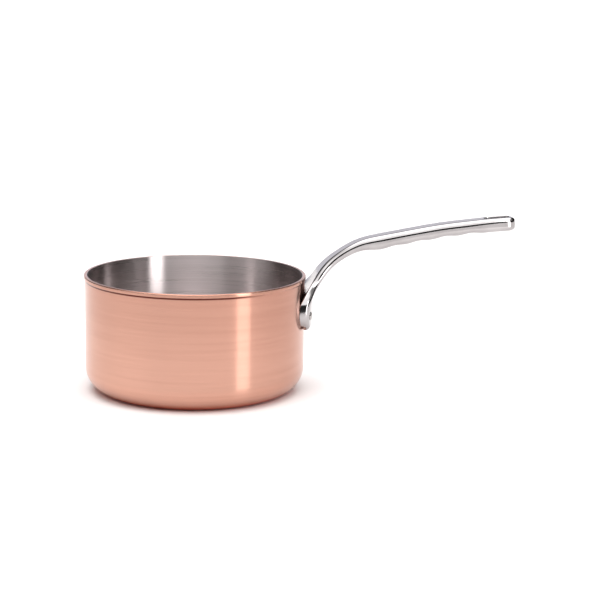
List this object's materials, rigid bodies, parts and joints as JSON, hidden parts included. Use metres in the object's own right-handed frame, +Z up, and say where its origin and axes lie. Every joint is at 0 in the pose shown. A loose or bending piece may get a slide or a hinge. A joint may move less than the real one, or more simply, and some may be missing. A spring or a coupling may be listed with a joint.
{
  "type": "saucepan",
  "caption": "Round straight-sided copper saucepan with a steel lining, a flared pouring lip and a long curved cast steel handle riveted to the wall.",
  "frame": {"origin": "centre of the pan's base, on the surface it stands on", "axes": "+Z up, +X from the pan's axis towards the tip of the handle"},
  "size_m": [0.3997, 0.205, 0.1633],
  "materials": {
    "copper": "satin copper with fine brushing round the wall",
    "lining": "stainless steel brushed round the wall",
    "handle": "cast stainless steel, polished",
    "rivet": "stainless steel, polished"
  },
  "bodies": {
    "root": {"copper_shell": "copper", "steel_lining": "lining", "handle": "handle", "rivet_left": "rivet", "rivet_right": "rivet"}
  },
  "joints": []
}
